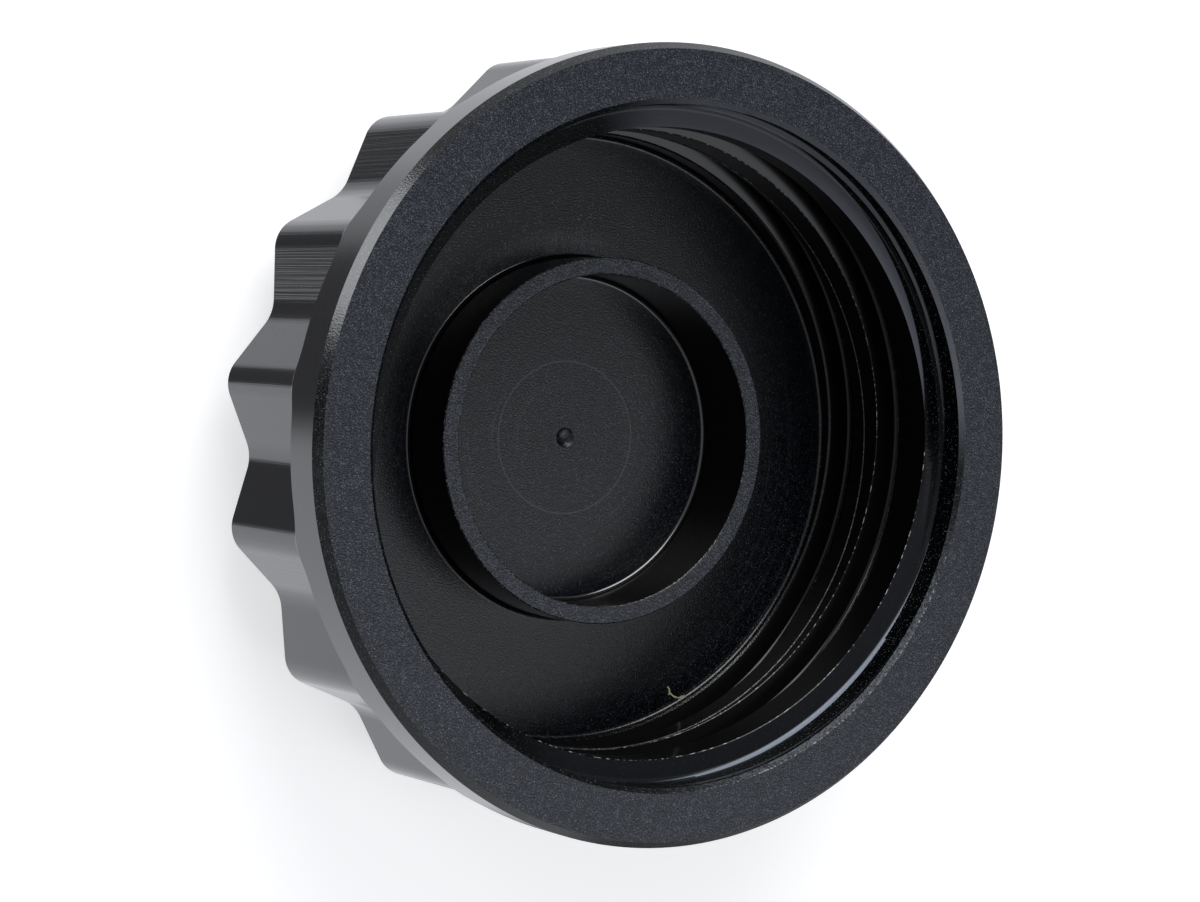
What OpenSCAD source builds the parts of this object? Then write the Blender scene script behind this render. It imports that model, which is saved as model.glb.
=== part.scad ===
// Screw cap for a scooter fuel tank, turned and milled from one piece of aluminium bar.
// It stands on its closed head with the mouth up, and its axis is Z.
// The cavity is one turned profile. The grip is one milled outline, which leans out round
// the corner of the cutter where each flute ends under the flange.

/* [Thread bore] */
// Diameter of the bore at the crests of the thread
bore_d = 57.2; // [46:0.2:70]
// Depth of the bore from the mouth face to the floor
bore_depth = 20.3; // [16.9:0.1:26]
// Depth below the mouth face that the bore is finished to
bore_finish_depth = 13; // [8:0.1:15]
// How far the wall below the finished bore stands in from it
bore_step = 0.1; // [0.05:0.05:0.5]
// Height of the slope between the two walls, where the finishing tool runs out
bore_step_run = 0.7; // [0.6:0.1:1.5]
// Radius in the corner between the bore and the floor
floor_corner_r = 0.4; // [0.2:0.1:0.8]

/* [Washer seat] */
// Width of the ledge that a washer lies on, outside the bore
seat_w = 1.95; // [1:0.05:3]
// Depth of the seat below the mouth face
seat_depth = 3; // [2:0.1:4]
// Radius in the corner between the seat and its wall
seat_corner_r = 0.5; // [0.2:0.1:0.8]
// Chamfer round the mouth
mouth_chamfer = 0.45; // [0.2:0.05:0.8]

/* [Flange] */
// Width from the seat's wall out to the rim of the flange
lip_w = 5.45; // [4.6:0.05:8]
// Height of the flange
flange_h = 5.2; // [3:0.1:7]
// How far the rim chamfer cuts into the mouth face
rim_chamfer_w = 0.6; // [0.3:0.1:1.2]
// How far the rim chamfer runs down the rim
rim_chamfer_h = 0.95; // [0.5:0.05:1.5]

/* [Grip] */
// Number of lobes
lobe_count = 16; // [13:1:19]
// Depth of the flutes between the lobes
flute_depth = 2.5; // [2:0.1:3.1]
// How far the tops of the lobes lie inside the rim of the flange
lobe_inset = 0.3; // [0.1:0.1:0.8]
// Radius on the top of each lobe
crest_r = 2.9; // [2:0.1:3.6]
// Radius of the cutter that mills the flutes, which is the radius in a flute's bottom
cutter_r = 3.6; // [3:0.1:4.4]
// Radius of the flat on the cutter's end, inside its round corner
cutter_flat_r = 2; // [1.2:0.1:2.4]

/* [Head] */
// Thickness of the head under the floor
head_t = 4.2; // [3.5:0.1:6]
// How far the middle of the head stands out past the ends of the lobes
head_rise = 4.4; // [2:0.1:7]
// Width of the flat ring from the flutes' bottoms in to the foot of the raised middle
head_land_w = 1.9; // [0.5:0.1:3]
// Width that the raised middle's side slopes in over, up to the flat face
head_slope_w = 3.3; // [1:0.1:5]
// Rounding of the edge of the head's face
head_edge_r = 0.6; // [0.3:0.1:1]

/* [Ring boss] */
// Outer diameter of the ring boss
ring_d = 34; // [28:0.5:41]
// Wall of the ring boss
ring_wall = 1.6; // [1.2:0.1:3]
// Depth of the top of the ring boss below the mouth face
ring_top_depth = 13.5; // [10:0.1:15]
// How far the floor inside the ring lies below the floor outside it
ring_floor_drop = 0.95; // [0:0.05:1.5]
// Radius in the corners at the foot of the ring
ring_foot_r = 0.4; // [0.2:0.1:0.6]
// Break on the edges of the ring's top
ring_edge = 0.15; // [0.05:0.05:0.3]
// Diameter of the turning centre mark in the floor
mark_d = 1.9; // [1:0.1:3]
// Depth of the turning centre mark
mark_depth = 0.6; // [0.3:0.1:1]

/* [Hidden] */

cap_h = bore_depth + head_t;
bore_r = bore_d / 2;
seat_r = bore_r + seat_w;
rim_r = seat_r + lip_w;
floor_z = head_t;
foot_r = bore_r - bore_step;
bore_finish_z = cap_h - bore_finish_depth;
seat_z = cap_h - seat_depth;
flange_z = cap_h - flange_h;
ring_top_z = cap_h - ring_top_depth;
ring_floor_z = floor_z - ring_floor_drop;
ring_r = ring_d / 2;
well_r = ring_r - ring_wall;

// Reach of the lobes' tops and of the flutes' bottoms from the axis
crest_reach = rim_r - lobe_inset;
flute_reach = crest_reach - flute_depth;
lobe_turn = 360 / lobe_count;

// Radius of the head's raised middle at its foot and at its face, and the angle of its side
head_foot_r = flute_reach - head_land_w;
head_face_r = head_foot_r - head_slope_w;
head_slope = atan2(head_rise, head_slope_w);

// Centres of the arcs, and the direction that a flank faces, seen from its own lobe
crest_at = crest_reach - crest_r;
flute_at = flute_reach + cutter_r;
arc_link = flute_at * [cos(lobe_turn / 2), sin(lobe_turn / 2)] - [crest_at, 0];
flank_dir = atan2(arc_link.y, arc_link.x) - acos((crest_r + cutter_r) / norm(arc_link));

// Radius of the cutter's corner
nose_r = cutter_r - cutter_flat_r;

// Straight steps in a quarter turn of a fillet, in a lobe's and a flute's arc, and round the
// cutter's corner
fillet_steps = 6;
crest_steps = 8;
flute_steps = 6;
nose_steps = 4;
// Steps round a turned surface
turn_steps = 180;
// Overlap of solids that are joined
join = 1;
// The grip keeps this far inside the rim, so that no two outer faces lie on each other
rim_gap = 0.03;

function polar(r, a) = r * [cos(a), sin(a)];

// Points on an arc from angle a0 to angle a1
function arc(centre, r, a0, a1, steps) =
    [for (i = [0 : steps]) centre + polar(r, a0 + (a1 - a0) * i / steps)];

// One lobe's rounded top and the flute after it, shifted out from the milled walls
function lobe_points(turn, shift) = concat(
    arc(polar(crest_at, turn), crest_r + shift, turn - flank_dir, turn + flank_dir, crest_steps),
    arc(polar(flute_at, turn + lobe_turn / 2), cutter_r - shift,
        turn + flank_dir + 180, turn + lobe_turn - flank_dir + 180, flute_steps));

// Outline of all the lobes, held a hair inside the rim
function grip_outline(shift) = [
    for (k = [0 : lobe_count - 1], p = lobe_points(k * lobe_turn, shift))
        p * min(1, (rim_r - rim_gap) / norm(p))];

function at_height(outline, z) = [for (p = outline) [p.x, p.y, z]];

// Outlines from the ends of the lobes up into the flange. The walls stand straight, and
// then lean out round the cutter's corner until they lie level under the flange.
grip_rings = concat(
    [at_height(grip_outline(0), head_rise)],
    [for (i = [0 : nose_steps])
        at_height(grip_outline(nose_r * (1 - cos(90 * i / nose_steps))),
            flange_z - nose_r * (1 - sin(90 * i / nose_steps)))],
    [at_height(grip_outline(nose_r), flange_z + join)]);

module grip() {
    n = len(grip_rings[0]);
    top = len(grip_rings) - 1;
    polyhedron(
        points = [for (ring = grip_rings) each ring],
        faces = concat(
            [[for (i = [0 : n - 1]) i]],
            [for (j = [0 : top - 1], i = [0 : n - 1])
                [j * n + i, (j + 1) * n + i, (j + 1) * n + (i + 1) % n, j * n + (i + 1) % n]],
            [[for (i = [n - 1 : -1 : 0]) top * n + i]]));
}

// Flange with its chamfered rim
module flange() {
    rotate_extrude($fn = turn_steps)
        polygon([
            [0, flange_z],
            [rim_r, flange_z],
            [rim_r, cap_h - rim_chamfer_h],
            [rim_r - rim_chamfer_w, cap_h],
            [0, cap_h]]);
}

// Raised middle of the closed head, a low cone with a flat face
module head() {
    rotate_extrude($fn = turn_steps)
        polygon(concat(
            [[0, 0]],
            arc([head_face_r - head_edge_r * tan(head_slope / 2), head_edge_r],
                head_edge_r, -90, head_slope - 90, fillet_steps),
            [[head_foot_r, head_rise],
             [head_foot_r, head_rise + join],
             [0, head_rise + join]]));
}

// Everything that is bored out from the mouth, as one turned profile
module cavity() {
    rotate_extrude($fn = turn_steps)
        polygon(concat(
            [[0, cap_h + join],
             [seat_r + mouth_chamfer + join, cap_h + join],
             [seat_r, cap_h - mouth_chamfer]],
            arc([seat_r - seat_corner_r, seat_z + seat_corner_r], seat_corner_r, 0, -90, fillet_steps),
            [[bore_r, seat_z],
             [bore_r, bore_finish_z],
             [foot_r, bore_finish_z - bore_step_run]],
            arc([foot_r - floor_corner_r, floor_z + floor_corner_r], floor_corner_r, 0, -90, fillet_steps),
            arc([ring_r + ring_foot_r, floor_z + ring_foot_r], ring_foot_r, -90, -180, fillet_steps),
            [[ring_r, ring_top_z - ring_edge],
             [ring_r - ring_edge, ring_top_z],
             [well_r + ring_edge, ring_top_z],
             [well_r, ring_top_z - ring_edge]],
            arc([well_r - ring_foot_r, ring_floor_z + ring_foot_r], ring_foot_r, 0, -90, fillet_steps),
            [[mark_d / 2, ring_floor_z],
             [0, ring_floor_z - mark_depth]]));
}

module cap() {
    color([0.13, 0.14, 0.15])
        difference() {
            union() {
                flange();
                grip();
                head();
            }
            cavity();
        }
}

cap();
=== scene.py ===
import math
import bpy
from mathutils import Matrix, Vector


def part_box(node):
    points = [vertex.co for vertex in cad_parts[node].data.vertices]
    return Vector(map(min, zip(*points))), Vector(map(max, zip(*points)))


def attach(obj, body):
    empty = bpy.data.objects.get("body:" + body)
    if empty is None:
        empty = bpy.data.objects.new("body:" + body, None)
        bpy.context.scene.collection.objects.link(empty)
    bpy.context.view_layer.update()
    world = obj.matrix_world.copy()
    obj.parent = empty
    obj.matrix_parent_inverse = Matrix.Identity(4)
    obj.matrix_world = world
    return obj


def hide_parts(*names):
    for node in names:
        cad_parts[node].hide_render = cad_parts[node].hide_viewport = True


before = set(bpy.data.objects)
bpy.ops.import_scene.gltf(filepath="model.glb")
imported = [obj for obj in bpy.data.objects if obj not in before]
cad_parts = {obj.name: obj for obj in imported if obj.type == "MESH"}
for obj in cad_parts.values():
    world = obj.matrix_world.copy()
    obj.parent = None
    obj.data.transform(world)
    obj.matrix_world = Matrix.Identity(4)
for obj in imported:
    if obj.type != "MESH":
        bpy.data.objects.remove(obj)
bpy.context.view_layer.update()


# Camera
# It looks down into the mouth of the cap from the side and is rolled over, because the
# photographed cap lies on its side and this one stands on its head.
MM = 0.001
view_from = (12.17 * MM, -159.95 * MM, 284.4 * MM)
view_heading = 4.0
view_tilt = 30.31
view_roll = 95.2
film_width = 36
lens_length = 102.77
nearest_seen = 10 * MM

camera_data = bpy.data.cameras.new("photo_view")
camera_data.sensor_width = film_width
camera_data.sensor_fit = "HORIZONTAL"
camera_data.lens = lens_length
camera_data.clip_start = nearest_seen
camera = bpy.data.objects.new("photo_view", camera_data)
bpy.context.scene.collection.objects.link(camera)
camera.matrix_world = (
    Matrix.Translation(view_from)
    @ Matrix.Rotation(math.radians(view_heading), 4, "Z")
    @ Matrix.Rotation(math.radians(view_tilt), 4, "X")
    @ Matrix.Rotation(math.radians(view_roll), 4, "Z"))
bpy.context.scene.camera = camera


# Turned blank
# The cap is turned from aluminium bar: flange, washer seat, bore, floor and ring boss are one
# section, drawn here as a turner would draw it and then spun round the axis.
_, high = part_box("cap")
turn_steps = 480
step_angle = math.tau / turn_steps
small_corner_steps = 5
large_corner_steps = 6
merge_within = 0.0005 * MM

# the head underneath: a flat face, and a low cone out to the lower ends of the lobes
head_face_r = 28.0 * MM
head_cone_r = 31.3 * MM
head_rise = 4.4 * MM
head_round = 0.6 * MM

# the flange with its rim, and the mouth with the washer seat under it
rim_r = high.x
cap_h = high.z
rim_chamfer_r = 0.6 * MM
rim_chamfer_z = 0.95 * MM
flange_z = cap_h - 5.2 * MM
mouth_chamfer = 0.45 * MM
seat_r = 30.55 * MM
seat_z = cap_h - 3.0 * MM
seat_corner = 0.5 * MM

# the bore, with the small step where its finishing cut ends
bore_r = 28.6 * MM
finished_to_z = cap_h - 13.0 * MM
bore_step = 0.07 * MM
bore_foot_r = bore_r - 0.1 * MM
floor_z = cap_h - 20.3 * MM
floor_corner = 0.4 * MM

# the ring boss on the floor, and the well inside it with the turning centre mark
ring_r = 17.0 * MM
ring_bore_r = 15.4 * MM
ring_top_z = cap_h - 13.5 * MM
ring_edge = 0.1 * MM
well_z = floor_z - 0.95 * MM
mark_r = 0.95 * MM
mark_depth = 0.6 * MM


def start_outline(name, x, y, z):
    """A new object in edit mode that holds one selected point."""
    bpy.ops.object.select_all(action="DESELECT")
    bpy.ops.mesh.primitive_plane_add(size=MM)
    bpy.context.object.name = name
    bpy.ops.object.mode_set(mode="EDIT")
    bpy.ops.mesh.merge(type="CENTER")
    bpy.ops.transform.translate(value=(x, y, z))
    return bpy.context.object


def line_by(x, y, z):
    """Draws what is selected out by a straight line."""
    bpy.ops.mesh.extrude_region_move(TRANSFORM_OT_translate={"value": (x, y, z)})


class Section:
    """A pen that draws a turned section in the plane of X (radius) and Z (height)."""

    def __init__(self, name, r, z):
        self.r, self.z = r, z
        start_outline(name, r, 0, z)

    def to(self, r, z):
        """A straight line to a radius and a height."""
        line_by(r - self.r, 0, z - self.z)
        self.r, self.z = r, z

    def round(self, centre_r, centre_z, turn, steps):
        """An arc about a centre, by a turn in degrees from radius towards height."""
        centre = (centre_r, 0, centre_z)
        bpy.ops.mesh.spin(steps=steps, angle=math.radians(turn), center=centre, axis=(0, 1, 0))
        c, s = math.cos(math.radians(turn)), math.sin(math.radians(turn))
        dr, dz = self.r - centre_r, self.z - centre_z
        self.r, self.z = centre_r + c * dr - s * dz, centre_z + s * dr + c * dz


def close_and_leave():
    """Joins the seams, turns the faces outwards and ends the work in edit mode."""
    bpy.ops.mesh.select_all(action="SELECT")
    bpy.ops.mesh.remove_doubles(threshold=merge_within)
    bpy.ops.mesh.normals_make_consistent(inside=False)
    bpy.ops.mesh.select_all(action="DESELECT")
    bpy.ops.object.mode_set(mode="OBJECT")


section = Section("cap_body", 0, 0)
cone_slope = math.atan2(head_rise, head_cone_r - head_face_r)
section.to(head_face_r - head_round * math.tan(cone_slope / 2), 0)
section.round(section.r, head_round, math.degrees(cone_slope), large_corner_steps)
section.to(head_cone_r, head_rise)
section.to(rim_r, head_rise)
section.to(rim_r, cap_h - rim_chamfer_z)
section.to(rim_r - rim_chamfer_r, cap_h)
section.to(seat_r + mouth_chamfer, cap_h)
section.to(seat_r, cap_h - mouth_chamfer)
section.to(seat_r, seat_z + seat_corner)
section.round(seat_r - seat_corner, seat_z + seat_corner, -90, large_corner_steps)
section.to(bore_r, seat_z)
section.to(bore_r, finished_to_z)
section.to(bore_r - bore_step, finished_to_z - bore_step)
section.to(bore_foot_r, floor_z + floor_corner)
section.round(bore_foot_r - floor_corner, floor_z + floor_corner, -90, small_corner_steps)
section.to(ring_r + floor_corner, floor_z)
section.round(ring_r + floor_corner, floor_z + floor_corner, -90, small_corner_steps)
section.to(ring_r, ring_top_z - ring_edge)
section.to(ring_r - ring_edge, ring_top_z)
section.to(ring_bore_r + ring_edge, ring_top_z)
section.to(ring_bore_r, ring_top_z - ring_edge)
section.to(ring_bore_r, well_z + floor_corner)
section.round(ring_bore_r - floor_corner, well_z + floor_corner, -90, small_corner_steps)
section.to(mark_r, well_z)
section.to(0, well_z - mark_depth)
bpy.ops.mesh.select_all(action="SELECT")
bpy.ops.mesh.spin(steps=turn_steps, angle=math.tau, center=(0, 0, 0), axis=(0, 0, 1))
close_and_leave()
cap = bpy.context.object


# Milled grip
# A cutter with a rounded corner mills sixteen lobes into the blank below the flange. What it
# clears is built from the wall it leaves, swept round one lobe, along a flank and round the
# bottom of a flute.
lobes = 16
lobe_tip_r = 35.7 * MM
flute_bottom_r = 33.2 * MM
crest_r = 2.9 * MM
cutter_r = 3.6 * MM
nose_r = 1.6 * MM
lean = 0.3 * MM
nose_steps = 8
crest_steps = 12
flute_steps = 10
past_the_blank = 1.25
outside_blank_r = rim_r + 3 * MM
a_hair = 0.01 * MM

crest_at = lobe_tip_r - crest_r
flute_at = flute_bottom_r + cutter_r
pitch = math.tau / lobes
link = Vector((flute_at * math.cos(pitch / 2) - crest_at, flute_at * math.sin(pitch / 2)))
flank_dir = math.atan2(link.y, link.x) - math.acos((crest_r + cutter_r) / link.length)
flank_len = math.sqrt(link.length ** 2 - (crest_r + cutter_r) ** 2)
cut_foot_z = head_rise - lean / 2


def turn_about(x, y, angle, steps):
    """Sweeps what is selected round an upright axis."""
    bpy.ops.mesh.spin(steps=steps, angle=angle, center=(x, y, 0), axis=(0, 0, -1))


def slide(direction, length):
    """Draws what is selected out level, in a direction."""
    line_by(math.cos(direction) * length, math.sin(direction) * length, 0)


def pick(obj, wanted):
    """Selects in edit mode only the points whose place passes a test."""
    bpy.ops.object.mode_set(mode="EDIT")
    bpy.ops.mesh.select_mode(type="VERT")
    bpy.ops.mesh.select_all(action="DESELECT")
    bpy.ops.object.mode_set(mode="OBJECT")
    for v in obj.data.vertices:
        v.select = wanted(v.co)
    bpy.ops.object.mode_set(mode="EDIT")


def cut_from(body, tool):
    """Takes the tool's space out of the body, and the tool away."""
    cut = body.modifiers.new("cut", "BOOLEAN")
    cut.operation = "DIFFERENCE"
    cut.solver = "EXACT"
    cut.object = tool
    bpy.ops.object.select_all(action="DESELECT")
    bpy.context.view_layer.objects.active = body
    body.select_set(True)
    bpy.ops.object.modifier_apply(modifier=cut.name)
    bpy.data.objects.remove(tool)


# the wall's section, standing at the start of the first lobe's rounded top
out = Vector((math.cos(-flank_dir), math.sin(-flank_dir), 0))
start = Vector((crest_at, 0, 0)) + out * crest_r
grip_cut = start_outline("grip_cut", *(start - out * lean + Vector((0, 0, cut_foot_z))))
line_by(out.x * lean, out.y * lean, lean)
line_by(0, 0, flange_z - nose_r - (cut_foot_z + lean))
nose_centre = start + out * nose_r + Vector((0, 0, flange_z - nose_r))
bpy.ops.mesh.spin(steps=nose_steps, angle=-math.pi / 2, center=nose_centre, axis=(-out.y, out.x, 0))
bpy.ops.mesh.select_all(action="SELECT")
turn_about(crest_at, 0, 2 * flank_dir, crest_steps)
slide(flank_dir + math.pi / 2, flank_len)
flute_x, flute_y = flute_at * math.cos(pitch / 2), flute_at * math.sin(pitch / 2)
turn_about(flute_x, flute_y, pitch - 2 * flank_dir, flute_steps)
slide(pitch - flank_dir + math.pi / 2, flank_len)
bpy.ops.mesh.select_all(action="SELECT")
bpy.ops.mesh.spin(steps=lobes, dupli=True, angle=math.tau, center=(0, 0, 0), axis=(0, 0, -1))
bpy.ops.mesh.select_all(action="SELECT")
bpy.ops.mesh.remove_doubles(threshold=merge_within)

# its upper and lower edges go out past the blank and are closed there
for edge_z in (flange_z, cut_foot_z):
    pick(grip_cut, lambda co: abs(co.z - edge_z) < a_hair)
    bpy.ops.mesh.extrude_edges_move()
    bpy.ops.transform.resize(value=(past_the_blank, past_the_blank, 1), center_override=(0, 0, 0))
pick(grip_cut, lambda co: co.xy.length > outside_blank_r)
bpy.ops.mesh.bridge_edge_loops()
close_and_leave()
cut_from(cap, grip_cut)


# Thread
# A coarse right-handed thread for the filler neck, cut after the bore. The tool comes in over
# the washer seat, goes down two turns and a third, runs level near the floor and is drawn out.
lead = 8 * MM
groove_w = 4.09 * MM
groove_root_r = 30.6 * MM
root_fillet = 0.6 * MM
root_fillet_steps = 5
flank_tilt = math.radians(16.5)
burr = 0.06 * MM
inner_r = bore_r - 0.6 * MM
thread_end_at = math.radians(66.75)
thread_end_z = cap_h - 17.68 * MM
helix_steps = 1128
level_steps = 131
fade_steps = 27
drawn_out_to = 0.93
on_line = 0.002 * MM
smooth_under = math.radians(28)

half_w = groove_w / 2
root_half_w = half_w - (groove_root_r - bore_r) * math.tan(flank_tilt)
thread_rise = lead * helix_steps / turn_steps


def groove_half():
    """Half of the groove's section as radius and height from its middle, mouth side first."""
    lip = half_w - burr * math.tan(flank_tilt)
    points = [(inner_r, lip + burr + bore_r - inner_r), (bore_r + burr, lip)]
    bend = math.pi / 2 - flank_tilt
    centre_r = groove_root_r - root_fillet
    centre_z = root_half_w - root_fillet * math.tan(bend / 2)
    for i in range(root_fillet_steps + 1):
        a = (1 - i / root_fillet_steps) * bend
        points.append((centre_r + root_fillet * math.cos(a), centre_z + root_fillet * math.sin(a)))
    return points


def on_spoke(co, angle):
    """Whether a point is on the upright half plane that leaves the axis at an angle."""
    off = abs(co.y * math.cos(angle) - co.x * math.sin(angle))
    return off < on_line and co.x * math.cos(angle) > 0


def pick_groove_end(angle, z):
    """Selects the groove's section at one of its ends."""
    pick(thread_cut, lambda co: on_spoke(co, angle) and abs(co.z - z) < half_w + MM)


half = groove_half()
loop = half + [(r, -z) for r, z in reversed(half)]
spoke = Vector((math.cos(thread_end_at), math.sin(thread_end_at), 0))
places = [spoke * r + Vector((0, 0, thread_end_z + z)) for r, z in loop]
thread_cut = start_outline("thread_cut", *places[0])
for here, there in zip(places, places[1:]):
    line_by(*(there - here))
bpy.ops.mesh.select_all(action="SELECT")
bpy.ops.mesh.edge_face_add()
bpy.ops.mesh.select_all(action="SELECT")
bpy.ops.mesh.delete(type="ONLY_FACE")
bpy.ops.object.mode_set(mode="OBJECT")
sweep = thread_cut.modifiers.new("sweep", "SCREW")
sweep.axis = "Z"
sweep.angle = helix_steps * step_angle
sweep.screw_offset = thread_rise
sweep.steps = helix_steps
sweep.render_steps = helix_steps
sweep.use_merge_vertices = False
bpy.ops.object.select_all(action="DESELECT")
bpy.context.view_layer.objects.active = thread_cut
thread_cut.select_set(True)
# the sweep turns about the object's own origin, so the place goes into the mesh first
bpy.ops.object.transform_apply(location=True, rotation=True, scale=True)
bpy.ops.object.modifier_apply(modifier=sweep.name)

# the level turn near the floor, and then the tool drawn out of the wall
pick_groove_end(thread_end_at, thread_end_z)
turn_about(0, 0, -level_steps * step_angle, level_steps)
draw_out = drawn_out_to ** (1 / fade_steps)
for i in range(fade_steps):
    turn_about(0, 0, -step_angle, 1)
    bpy.ops.transform.resize(value=(draw_out, draw_out, 1), center_override=(0, 0, 0))
bpy.ops.mesh.edge_face_add()
pick_groove_end(thread_end_at + helix_steps * step_angle, thread_end_z + thread_rise)
bpy.ops.mesh.edge_face_add()
close_and_leave()
cut_from(cap, thread_cut)

bpy.ops.object.select_all(action="DESELECT")
cap.select_set(True)
bpy.context.view_layer.objects.active = cap
bpy.ops.object.shade_smooth_by_angle(angle=smooth_under)
flats = cap.modifiers.new("flats", "WEIGHTED_NORMAL")
flats.keep_sharp = True
bpy.ops.object.modifier_apply(modifier=flats.name)
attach(cap, "root")
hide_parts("cap")


# Turned and milled finish
# The whole cap is anodised black after machining. The turned walls and the milled grip keep
# the cutter's own gloss under the black, and fine lines along the cutter's path.
black = (0.006, 0.006, 0.0064, 1)
bore_black = (0.0014, 0.0011, 0.001, 1)


def add_node(tree, kind, inputs=None, **settings):
    """A shader node, each of whose inputs is given a value or joined to a socket."""
    made = tree.nodes.new(kind)
    for name, value in settings.items():
        setattr(made, name, value)
    for name, value in (inputs or {}).items():
        if isinstance(value, bpy.types.NodeSocket):
            tree.links.new(value, made.inputs[name])
        else:
            made.inputs[name].default_value = value
    return made


def work_out(tree, operation, *values):
    """A Math node's result."""
    inputs = dict(enumerate(values))
    return add_node(tree, "ShaderNodeMath", inputs, operation=operation).outputs[0]


def times(tree, *values):
    product = values[0]
    for value in values[1:]:
        product = work_out(tree, "MULTIPLY", product, value)
    return product


def above(tree, value, line):
    """How far a value is above a line, which may itself be worked out."""
    return work_out(tree, "SUBTRACT", value, line)


def ramp(tree, value, from_min, from_max, to_min=0.0, to_max=1.0):
    """Goes smoothly from one value to another as the input crosses a range."""
    inputs = {
        "Value": value, "From Min": from_min, "From Max": from_max, "To Min": to_min, "To Max": to_max}
    made = add_node(tree, "ShaderNodeMapRange", inputs, interpolation_type="SMOOTHSTEP")
    return made.outputs["Result"]


def new_group(name, inputs, outputs):
    """A group of nodes that takes numbers and gives numbers."""
    group = bpy.data.node_groups.new(name, "ShaderNodeTree")
    for socket, value in inputs.items():
        made = group.interface.new_socket(socket, in_out="INPUT", socket_type="NodeSocketFloat")
        made.default_value = value
    for socket in outputs:
        group.interface.new_socket(socket, in_out="OUTPUT", socket_type="NodeSocketFloat")
    return group, group.nodes.new("NodeGroupInput").outputs, group.nodes.new("NodeGroupOutput").inputs


def use(tree, group, **inputs):
    """Places a group with its own values."""
    return add_node(tree, "ShaderNodeGroup", inputs, node_tree=group).outputs


def on_object(tree):
    """Where a point lies on the piece."""
    return add_node(tree, "ShaderNodeTexCoord").outputs["Object"]


def noise(tree, place, scale, detail):
    inputs = {"Vector": place, "Scale": scale, "Detail": detail}
    return add_node(tree, "ShaderNodeTexNoise", inputs).outputs["Fac"]


def new_finish(name, roughness, ior):
    """A material with its gloss set, its nodes and the inputs of its shader."""
    finish = bpy.data.materials.new(name)
    finish.use_nodes = True
    shader = finish.node_tree.nodes["Principled BSDF"].inputs
    shader["Roughness"].default_value = roughness
    shader["IOR"].default_value = ior
    return finish, finish.node_tree, shader


def raise_marks(tree, shader, height, depth):
    """Gives a finish a relief."""
    bump = add_node(tree, "ShaderNodeBump", {"Height": height, "Distance": depth})
    tree.links.new(bump.outputs["Normal"], shader["Normal"])


# radius and height in millimetres, the distance in millimetres round the cap, and the
# bearing in degrees from the middle of the painted sheen on the washer seat
sheen_middle_at = math.radians(145)
place_group, _, ends = new_group("place_on_cap", {}, ["Radius", "Height", "Around", "Bearing"])
xyz = add_node(place_group, "ShaderNodeSeparateXYZ", {"Vector": on_object(place_group)}).outputs
flat_place = add_node(place_group, "ShaderNodeCombineXYZ", {"X": xyz["X"], "Y": xyz["Y"]}).outputs[0]
reach = add_node(place_group, "ShaderNodeVectorMath", {0: flat_place}, operation="LENGTH").outputs["Value"]
radius = times(place_group, reach, 1 / MM)
angle = work_out(place_group, "ARCTAN2", xyz["Y"], xyz["X"])
turn = work_out(place_group, "SUBTRACT", angle, sheen_middle_at)
from_sheen_middle = work_out(place_group, "WRAP", turn, math.pi, -math.pi)
place_group.links.new(radius, ends["Radius"])
place_group.links.new(times(place_group, xyz["Z"], 1 / MM), ends["Height"])
place_group.links.new(times(place_group, angle, radius), ends["Around"])
place_group.links.new(times(place_group, from_sheen_middle, math.degrees(1)), ends["Bearing"])

# fine marks that a tool leaves along its path, from the distances across it and along it
mark_inputs = {"Across": 0.0, "Along": 0.0, "Fineness": 8.0, "Drift": 0.02}
mark_group, given, ends = new_group("tool_marks", mark_inputs, ["Marks"])
across = times(mark_group, given["Across"], given["Fineness"])
along = times(mark_group, given["Along"], given["Drift"])
path_place = add_node(mark_group, "ShaderNodeCombineXYZ", {"X": across, "Y": along}).outputs["Vector"]
mark_noise = {"Vector": path_place, "Scale": 1.0, "Detail": 3.0, "Roughness": 0.6}
marks = add_node(mark_group, "ShaderNodeTexNoise", mark_noise)
mark_group.links.new(marks.outputs["Fac"], ends["Marks"])

turned, tree, shader = new_finish("turned_black", roughness=0.15, ior=1.35)
shader["Base Color"].default_value = bore_black
place = use(tree, place_group)
marks = use(tree, mark_group, Across=place["Height"], Along=place["Around"], Fineness=14.0)
raise_marks(tree, shader, marks["Marks"], depth=0.002 * MM)

rim_finish, _, shader = new_finish("rim_black", roughness=0.16, ior=1.8)
shader["Base Color"].default_value = black

milled, tree, shader = new_finish("milled_black", roughness=0.16, ior=1.8)
shader["Base Color"].default_value = black
place = use(tree, place_group)
marks = use(tree, mark_group, Across=place["Around"], Along=place["Height"], Fineness=2.6)
raise_marks(tree, shader, marks["Marks"], depth=0.02 * MM)


# Blasted faces
# The face round the mouth, the ring's top and the floors were blasted with fine beads before
# anodising, which leaves them matt, with a fine relief and a few grains that catch the light.
face_dark = (0.0015, 0.003, 0.007, 1)
face_light = (0.027, 0.033, 0.045, 1)
chamfer_dark = (0.0004, 0.0005, 0.0006, 1)
chamfer_light = (0.012, 0.014, 0.016, 1)
ring_edge_dark = (0.001, 0.001, 0.0014, 1)
ring_edge_light = (0.02, 0.022, 0.028, 1)
ring_edge_painted_glint = (0.11, 0.115, 0.125, 1)
floor_dark = (0.0, 0.0, 0.0004, 1)
floor_light = (0.009, 0.012, 0.018, 1)
speck_tint = (1, 1.05, 1.16)
fine_grain = 6400.0
coarse_grain = 1500.0
speck_grain = 4900.0
fine_share = 0.7
tone_range = (0.44, 0.68)
speck_reach = (0.1, 0.36)
speck_luck = (0.45, 0.97)

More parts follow.
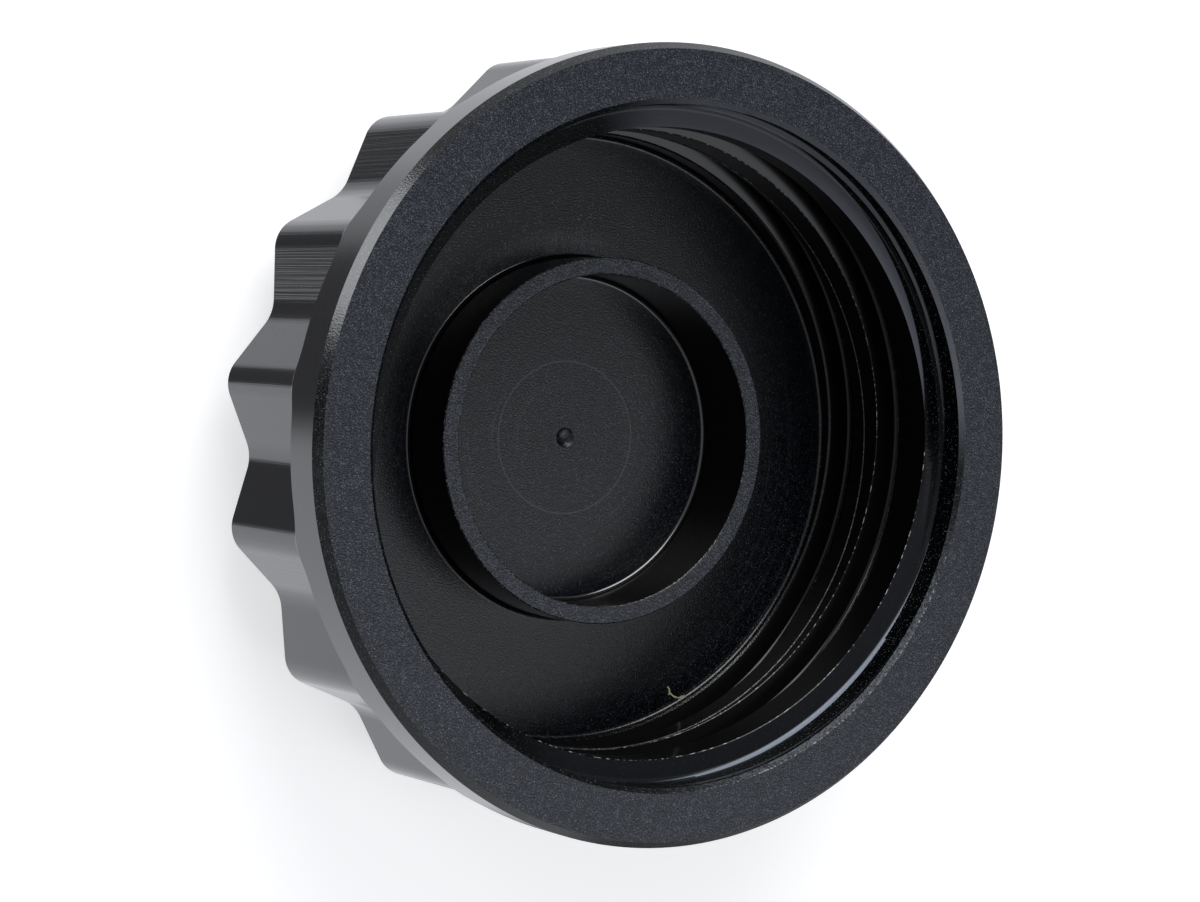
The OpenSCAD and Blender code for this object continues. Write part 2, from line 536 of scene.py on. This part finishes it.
grain_group, _, ends = new_group("blasted_grain", {}, ["Tone", "Specks", "Relief"])
coords = on_object(grain_group)
fine = noise(grain_group, coords, scale=fine_grain, detail=0.5)
coarse = noise(grain_group, coords, scale=coarse_grain, detail=2.0)
cells = add_node(grain_group, "ShaderNodeTexVoronoi", {"Vector": coords, "Scale": speck_grain})
luck = add_node(grain_group, "ShaderNodeSeparateXYZ", {"Vector": cells.outputs["Color"]}).outputs["X"]
near = ramp(grain_group, cells.outputs["Distance"], *speck_reach, 1.0, 0.0)
chosen = ramp(grain_group, luck, *speck_luck)
finer, coarser = times(grain_group, fine, fine_share), times(grain_group, coarse, 1 - fine_share)
tone = work_out(grain_group, "ADD", finer, coarser)
grain_group.links.new(ramp(grain_group, tone, *tone_range), ends["Tone"])
grain_group.links.new(times(grain_group, near, chosen), ends["Specks"])
grain_group.links.new(fine, ends["Relief"])

# painted glints: bright spots along edges, laid on as colour
glint_inputs = {"Scale": 3000.0, "Detail": 2.0, "From": 0.5, "Full": 0.6}
glint_group, given, ends = new_group("edge_glints", glint_inputs, ["Glints"])
lumps = noise(glint_group, on_object(glint_group), given["Scale"], given["Detail"])
glint_group.links.new(ramp(glint_group, lumps, given["From"], given["Full"]), ends["Glints"])


def blend_colours(tree, share, low_colour, high_colour):
    """Goes from the first colour to the second as the share goes from 0 to 1."""
    # a Mix node has sockets for each kind of value, and 6, 7 and 2 are its colours
    inputs = {0: share, 6: low_colour, 7: high_colour}
    return add_node(tree, "ShaderNodeMix", inputs, data_type="RGBA").outputs[2]


def blasted_finish(name, roughness, ior, dark, light, relief, speck):
    """A finish with the light specks and the fine relief of blasting."""
    finish, tree, shader = new_finish(name, roughness, ior)
    grain = use(tree, grain_group)
    colour = blend_colours(tree, grain["Tone"], dark, light)
    speck_colour = (*(speck * tint for tint in speck_tint), 1)
    colour = blend_colours(tree, grain["Specks"], colour, speck_colour)
    tree.links.new(colour, shader["Base Color"])
    raise_marks(tree, shader, grain["Relief"], relief)
    return finish, tree, shader


def lighten(tree, shader, share, colour):
    """Lays a colour over a finish where the share is 1."""
    below = shader["Base Color"].links[0].from_socket
    tree.links.new(blend_colours(tree, share, below, colour), shader["Base Color"])


def band(tree, value, start, full, fading, end):
    """1 while a value is between full and fading, and 0 before start and past end."""
    return times(tree, ramp(tree, value, start, full), ramp(tree, value, end, fading))


def ring_line(tree, radius, at, half_width):
    """1 on a thin circle round the axis."""
    off = work_out(tree, "ABSOLUTE", work_out(tree, "SUBTRACT", radius, at))
    return ramp(tree, off, half_width, 2 * half_width, 1.0, 0.0)


def lint_bow(tree, centre, radius, first, last):
    """1 on a short bow of lint, round a centre in millimetres and between two bearings."""
    half_width = 0.05
    taper = 0.15
    x, y = centre
    inputs = {"Vector": on_object(tree), "Scale": (1 / MM, 1 / MM, 0.0), "Location": (-x, -y, 0.0)}
    moved = add_node(tree, "ShaderNodeMapping", inputs).outputs["Vector"]
    reach = add_node(tree, "ShaderNodeVectorMath", {0: moved}, operation="LENGTH").outputs["Value"]
    axes = add_node(tree, "ShaderNodeSeparateXYZ", {"Vector": moved}).outputs
    bearing = work_out(tree, "ARCTAN2", axes["Y"], axes["X"])
    start, end = math.radians(first), math.radians(last)
    within = band(tree, bearing, start, start + taper, end - taper, end)
    return times(tree, within, ring_line(tree, reach, radius, half_width))


blasted, _, _ = blasted_finish(
    "blasted_face", roughness=0.36, ior=1.42, dark=face_dark, light=face_light,
    relief=0.04 * MM, speck=0.125)
chamfer, _, _ = blasted_finish(
    "chamfer_black", roughness=0.2, ior=1.47, dark=chamfer_dark, light=chamfer_light,
    relief=0.012 * MM, speck=0.11)

ring_rim, tree, shader = blasted_finish(
    "ring_edge_black", roughness=0.3, ior=1.5, dark=ring_edge_dark, light=ring_edge_light,
    relief=0.04 * MM, speck=0.11)
# painted glints along the ring's edges
glints = use(tree, glint_group, Scale=4200.0, Detail=1.0, From=0.54, Full=0.7)["Glints"]
lighten(tree, shader, glints, ring_edge_painted_glint)

# the floors have turning marks, a scribed circle and, round the ring's foot on one side, a painted sheen
# band with painted sparkles
scribed_r = 7.2
scribed_half_w = 0.05
scribed_share = 0.5
marks_seen = (0.56, 0.72)
marks_share = 0.45
foot_sheen_share = 0.8
foot_sheen_least = 0.25
foot_sheen_with_grain = 0.8
foot_sheen_bearings = (20.0, 50.0, 70.0, 112.0)
foot_sheen_radii = (16.9, 17.2, 18.4, 20.2)
speckled_radii = (16.9, 17.2, 19.0, 26.0)
turning_marks = (0.03, 0.03, 0.033, 1)
scribed_metal = (0.05, 0.05, 0.054, 1)
foot_painted_sheen = (0.16, 0.168, 0.184, 1)
foot_painted_sparkle = (0.24, 0.255, 0.29, 1)
pocket, tree, shader = blasted_finish(
    "blasted_floor", roughness=0.3, ior=1.39, dark=floor_dark, light=floor_light,
    relief=0.02 * MM, speck=0.075)
place = use(tree, place_group)
grain = use(tree, grain_group)
marks = use(tree, mark_group, Across=place["Radius"], Along=place["Around"], Fineness=4.0, Drift=0.05)
broken = ramp(tree, marks["Marks"], *marks_seen)
lighten(tree, shader, times(tree, broken, marks_share), turning_marks)
scribed = ring_line(tree, place["Radius"], scribed_r, scribed_half_w)
lighten(tree, shader, times(tree, scribed, scribed_share), scribed_metal)
# painted sheen and sparkles on one side of the ring's foot
foot_sheen_side = band(tree, place["Bearing"], *foot_sheen_bearings)
at_foot = band(tree, place["Radius"], *foot_sheen_radii)
near_foot = band(tree, place["Radius"], *speckled_radii)
uneven = work_out(tree, "MULTIPLY_ADD", grain["Tone"], foot_sheen_with_grain, foot_sheen_least)
grained_side = times(tree, foot_sheen_side, uneven)
lighten(tree, shader, times(tree, at_foot, grained_side, foot_sheen_share), foot_painted_sheen)
lighten(tree, shader, times(tree, near_foot, foot_sheen_side, grain["Specks"]), foot_painted_sparkle)

# two bits of lint lie on the floor near the wall
lint = (0.42, 0.38, 0.24, 1)
long_bow = lint_bow(tree, centre=(21.7, 16.1), radius=1.2, first=-50, last=45)
short_bow = lint_bow(tree, centre=(22.5, 14.6), radius=0.55, first=60, last=160)
lighten(tree, shader, long_bow, lint)
lighten(tree, shader, short_bow, lint)


# Mouth and washer seat
# The edge of the mouth and the seat under it are turned in the same bar and anodised black.
# Painted sheen lightens them on one side, and painted highlights and glints lie on another.
mouth_dark = (0.0005, 0.0007, 0.001, 1)
mouth_light = (0.006, 0.007, 0.009, 1)
mouth_painted_sheen = (0.085, 0.09, 0.102, 1)
mouth_painted_speckle = (0.042, 0.049, 0.06, 1)
mouth_painted_glint = (0.24, 0.25, 0.265, 1)
ledge_dark = (0.0003, 0.0004, 0.0005, 1)
ledge_light = (0.003, 0.0034, 0.004, 1)
ledge_painted_sheen = (0.066, 0.07, 0.082, 1)
ledge_far_painted_light = (0.012, 0.013, 0.015, 1)
root_painted_highlight = (0.19, 0.215, 0.255, 1)
wall_dark = (0.0004, 0.0005, 0.0006, 1)
wall_light = (0.003, 0.0035, 0.004, 1)
wall_painted_sheen = (0.2, 0.205, 0.22, 1)

# bearings where each painted stretch starts, is full, starts to fade and ends
mouth_sheen_bearings = (-52.0, -36.0, 40.0, 60.0)
mouth_bright_bearings = (-140.0, -115.0, -75.0, -55.0)
ledge_sheen_bearings = (-46.0, -30.0, 45.0, 60.0)
ledge_far_bearings = (-172.0, -150.0, -62.0, -40.0)
highlight_bearings = (-147.0, -130.0, -80.0, -58.0)
wall_sheen_bearings = (-52.0, 0.0, 36.0, 45.0)

mouth_edge, tree, shader = blasted_finish(
    "mouth_edge_black", roughness=0.3, ior=1.3, dark=mouth_dark, light=mouth_light,
    relief=0.06 * MM, speck=0.12)
place = use(tree, place_group)
# painted sheen: one side of the mouth's edge is lightened
sheen_side = band(tree, place["Bearing"], *mouth_sheen_bearings)
lighten(tree, shader, sheen_side, mouth_painted_sheen)
# painted highlight on the lit side: a brighter speckle over the edge and glints at its rim
bright_side = band(tree, place["Bearing"], *mouth_bright_bearings)
bright_grain = use(tree, glint_group, Scale=4000.0, Detail=2.0, From=0.35, Full=0.6)["Glints"]
lighten(tree, shader, times(tree, bright_side, bright_grain), mouth_painted_speckle)
mouth_r = (seat_r + mouth_chamfer) / MM
glints_start = 0.12
glints_full = 0.05
at_edge = ramp(tree, place["Radius"], mouth_r - glints_start, mouth_r - glints_full)
glints = use(tree, glint_group, Scale=4000.0, Detail=2.0, From=0.52, Full=0.64)["Glints"]
lighten(tree, shader, times(tree, at_edge, bright_side, glints), mouth_painted_glint)

# the ledge has a painted sheen inside a line that draws in from the wall towards the sheen's ends
sheen_edge_r = 30.5
drawn_in_per_degree = -0.0183
drawn_in_at_middle = 0.667
sheen_border = (0.02, 0.1)
far_share = 0.7
ledge, tree, shader = blasted_finish(
    "seat_black", roughness=0.16, ior=1.2, dark=ledge_dark, light=ledge_light,
    relief=0.006 * MM, speck=0.06)
place = use(tree, place_group)
root = work_out(tree, "MULTIPLY_ADD", place["Bearing"], drawn_in_per_degree, drawn_in_at_middle)
sheen_edge_at = work_out(tree, "SUBTRACT", sheen_edge_r, work_out(tree, "POWER", root, 2.0))
sheen_inside = ramp(tree, above(tree, place["Radius"], sheen_edge_at), *sheen_border, 1.0, 0.0)
sheen_side = band(tree, place["Bearing"], *ledge_sheen_bearings)
lighten(tree, shader, times(tree, sheen_inside, sheen_side), ledge_painted_sheen)
# painted light: the far side of the ledge is lightened where the soft box falls on it
far_side = band(tree, place["Bearing"], *ledge_far_bearings)
lighten(tree, shader, times(tree, far_side, far_share), ledge_far_painted_light)

# a painted highlight on the thread's root beside the ledge, widest at one bearing
highlight_middle_at = -103
highlight_reach = 42
bright_r = 30.2
bright_spread = 0.45
bright_border = (0.0, 0.16)
off_highlight_middle = work_out(tree, "MULTIPLY_ADD", place["Bearing"], 1 / highlight_reach, -highlight_middle_at / highlight_reach)
off_highlight_squared = work_out(tree, "POWER", off_highlight_middle, 2.0)
bright_from = work_out(tree, "MULTIPLY_ADD", off_highlight_squared, bright_spread, bright_r)
bright = ramp(tree, above(tree, place["Radius"], bright_from), *bright_border)
highlight_side = band(tree, place["Bearing"], *highlight_bearings)
lighten(tree, shader, times(tree, bright, highlight_side), root_painted_highlight)

# the wall over the ledge has a painted sheen in a crescent, between a rising line and a bowed one
seat_height = seat_z / MM
rising_over_seat = 1.46
rise_per_degree = 0.0222
rising_border = (-0.3, 0.05)
bowed_over_seat = 0.48
bow_middle = -4.0
bow_depth = 0.00042
bowed_border = (-0.04, 0.08)
wall_start = 0.25
wall_full = 0.15
seat_wall, tree, shader = blasted_finish(
    "seat_wall_black", roughness=0.16, ior=1.13, dark=wall_dark, light=wall_light,
    relief=0.004 * MM, speck=0.11)
place = use(tree, place_group)
risen = times(tree, place["Bearing"], rise_per_degree)
rising = work_out(tree, "ADD", risen, seat_height + rising_over_seat)
under = ramp(tree, above(tree, place["Height"], rising), *rising_border, 1.0, 0.0)
off_middle = work_out(tree, "SUBTRACT", place["Bearing"], bow_middle)
bow = times(tree, work_out(tree, "POWER", off_middle, 2.0), -bow_depth)
bowed = work_out(tree, "ADD", bow, seat_height + bowed_over_seat)
over = ramp(tree, above(tree, place["Height"], bowed), *bowed_border)
sheen_side = band(tree, place["Bearing"], *wall_sheen_bearings)
on_wall = ramp(tree, place["Radius"], seat_r / MM - wall_start, seat_r / MM - wall_full)
lighten(tree, shader, times(tree, under, over, sheen_side, on_wall), wall_painted_sheen)


# Thread finish
# The threading tool leaves the groove smooth and raises a small burr on both its edges. Glints
# on the burr are painted on in places as bright colour.
groove_black = (0.002, 0.002, 0.002, 1)
burr_painted_glint = (0.35, 0.35, 0.36, 1)
thread_crest_r = bore_r / MM
glint_to = 0.02
threaded, tree, shader = new_finish("threaded_black", roughness=0.16, ior=1.36)
place = use(tree, place_group)
# painted glints along the burr
at_edge = ramp(tree, place["Radius"], thread_crest_r + glint_to, thread_crest_r + burr / MM, 1.0, 0.0)
glints = use(tree, glint_group, Scale=2400.0, Detail=2.0, From=0.5, Full=0.66)["Glints"]
colour = blend_colours(tree, times(tree, at_edge, glints), groove_black, burr_painted_glint)
tree.links.new(colour, shader["Base Color"])


# Finishes on the cap
# The cap is one piece of metal, so each face takes its finish from where it lies and which way
# it faces: blasted if it is flat, and turned, milled or threaded if it is a wall.
finishes = [
    turned, blasted, milled, threaded, rim_finish, pocket,
    chamfer, ledge, mouth_edge, seat_wall, ring_rim]
cap.data.materials.clear()
for finish in finishes:
    cap.data.materials.append(finish)

grip_inner_r = 30 * MM
grip_foot_z = head_rise - 0.2 * MM
flange_wall_r = 35 * MM
rim_slope_r = rim_r - MM
seat_wall_from_r = seat_r - 0.3 * MM
seat_wall_to_r = seat_r + 0.1 * MM
mouth_z = cap_h - MM
below_seat_z = seat_z - 0.05 * MM
under_ledge_z = seat_z - MM
first_groove_z = cap_h - 5.6 * MM
groove_flank_r = bore_r + 0.3 * MM
ledge_from_r = bore_r - 0.2 * MM
ring_top_from_z = ring_top_z - 0.3 * MM
inside_z = 2 * MM
mark_to_r = 2 * MM
floor_edge_r = 20 * MM
outward_share = 0.5
steep_share = 0.5
sloped_share = 0.3
flat_share = 0.97


def finish_of(face):
    """Which finish a face has, by where it lies and which way it faces."""
    r = face.center.xy.length
    z = face.center.z
    up = face.normal.z
    outward = face.normal.xy.dot(face.center.xy.normalized()) if r > 0 else 0
    if outward > outward_share and flange_z - a_hair > z > grip_foot_z and r > grip_inner_r:
        return milled
    if seat_wall_from_r < r < seat_wall_to_r and z > seat_z and abs(up) < steep_share:
        return seat_wall
    if bore_r + a_hair < r < seat_r and floor_z < z < below_seat_z:
        in_first_groove = up > sloped_share and z > first_groove_z and r > groove_flank_r
        return ledge if in_first_groove else threaded
    if abs(up) <= sloped_share:
        return rim_finish if r > flange_wall_r else turned
    if cap_h - z < a_hair:
        return blasted
    if r > rim_slope_r:
        return chamfer
    if r > ledge_from_r and z > under_ledge_z:
        return mouth_edge if z > mouth_z else ledge
    if r >= bore_r or z <= inside_z:
        return blasted
    if z > ring_top_from_z:
        return blasted if up > flat_share else ring_rim
    if up > flat_share or r < mark_to_r:
        return pocket
    return chamfer if r > floor_edge_r else rim_finish


for face in cap.data.polygons:
    face.material_index = finishes.index(finish_of(face))


# Floor and light
# A sheet of white paper under the cap, a large soft box on one side, and a white room round
# them with darker and brighter places, which the black metal mirrors.
paper_size = 4
paper_colour = (0.6, 0.6, 0.61, 1)
paper_lift = 0.6
room_colour = (0.93, 0.95, 1, 1)
room_level = 0.3
ceiling_level = 0.5
white = 1.0
soft_box_size = (0.42, 0.4)
soft_box_heading = 190
soft_box_elevation = 38
soft_box_distance = 0.6
soft_box_power = 3.1

bpy.ops.object.select_all(action="DESELECT")
bpy.ops.mesh.primitive_plane_add(size=paper_size)
floor = bpy.context.object
floor.name = "floor"
floor.visible_glossy = False
paper = bpy.data.materials.new("paper")
paper.use_nodes = True
tree = paper.node_tree
tree.nodes.clear()
diffuse = add_node(tree, "ShaderNodeBsdfDiffuse", {"Color": paper_colour})
path = add_node(tree, "ShaderNodeLightPath")
lift = times(tree, path.outputs["Is Camera Ray"], paper_lift)
glow = add_node(tree, "ShaderNodeEmission", {"Strength": lift})
both = add_node(tree, "ShaderNodeAddShader", {0: diffuse.outputs[0], 1: glow.outputs[0]})
add_node(tree, "ShaderNodeOutputMaterial", {"Surface": both.outputs[0]})
floor.data.materials.append(paper)

studio = bpy.data.worlds.new("studio")
studio.use_nodes = True
bpy.context.scene.world = studio
tree = studio.node_tree
tree.nodes.clear()
direction = add_node(tree, "ShaderNodeTexCoord").outputs["Generated"]
axes = add_node(tree, "ShaderNodeSeparateXYZ", {"Vector": direction}).outputs
height = axes["Z"]
heading = times(tree, work_out(tree, "ARCTAN2", axes["Y"], axes["X"]), math.degrees(1))


def aim(heading, elevation):
    """The direction with a heading and an elevation in degrees."""
    a, e = math.radians(heading), math.radians(elevation)
    return Vector((math.cos(a) * math.cos(e), math.sin(a) * math.cos(e), math.sin(e)))


def patch(heading, elevation, inner, outer):
    """1 within an angle of a direction in the room, and 0 past a wider one."""
    inputs = {0: direction, 1: aim(heading, elevation)}
    near = add_node(tree, "ShaderNodeVectorMath", inputs, operation="DOT_PRODUCT").outputs["Value"]
    return ramp(tree, near, math.cos(math.radians(outer)), math.cos(math.radians(inner)))


def paint(level, share, value):
    """Goes from one brightness of the room to another where the share is 1."""
    lower = times(tree, level, work_out(tree, "SUBTRACT", 1.0, share))
    return work_out(tree, "ADD", lower, times(tree, share, value))


# the room is dimmer at the horizon than overhead, and below the horizon it is white
up_the_walls = (0.0, 0.8)
under_horizon = (0.05, -0.3)
room = ramp(tree, height, *up_the_walls, room_level, ceiling_level)
room = paint(room, ramp(tree, height, *under_horizon), white)

# what the grip mirrors from low down: the headings of each stretch, and its brightness
low_down = (-0.4, -0.6)
far_below = ramp(tree, height, *low_down)
for *headings, brightness in (
        (-178, -160, -148, -140, 0.7),
        (-150, -136, -88, -74, 0.13)):
    room = paint(room, times(tree, far_below, band(tree, heading, *headings)), brightness)

# round patches: heading, elevation, the angle that is full, the angle where it ends, brightness
for *where, brightness in (
        (78, -45, 12, 22, 0.2),
        (45, -28, 12, 20, 0.2),
        (-122, 2, 15, 20, 8.0),
        (-90, 5, 9, 13, 0.05),
        (20, 30, 20, 45, 0.12),
        (128, 58, 8, 30, 0.06),
        (58, 56, 8, 28, 2.4)):
    room = paint(room, patch(*where), brightness)

# the camera sees a white background
seen = add_node(tree, "ShaderNodeLightPath").outputs["Is Camera Ray"]
room = paint(room, seen, white)
background = add_node(tree, "ShaderNodeBackground", {"Color": room_colour, "Strength": room})
add_node(tree, "ShaderNodeOutputWorld", {"Surface": background.outputs[0]})

soft_box = bpy.data.lights.new("key", "AREA")
soft_box.shape = "RECTANGLE"
soft_box.size, soft_box.size_y = soft_box_size
soft_box.energy = soft_box_power
lamp = bpy.data.objects.new("key", soft_box)
bpy.context.scene.collection.objects.link(lamp)
lamp.location = aim(soft_box_heading, soft_box_elevation) * soft_box_distance
lamp.rotation_euler = (-lamp.location).to_track_quat("-Z", "Y").to_euler()
lamp.visible_camera = False
bpy.context.scene.view_settings.view_transform = "Standard"
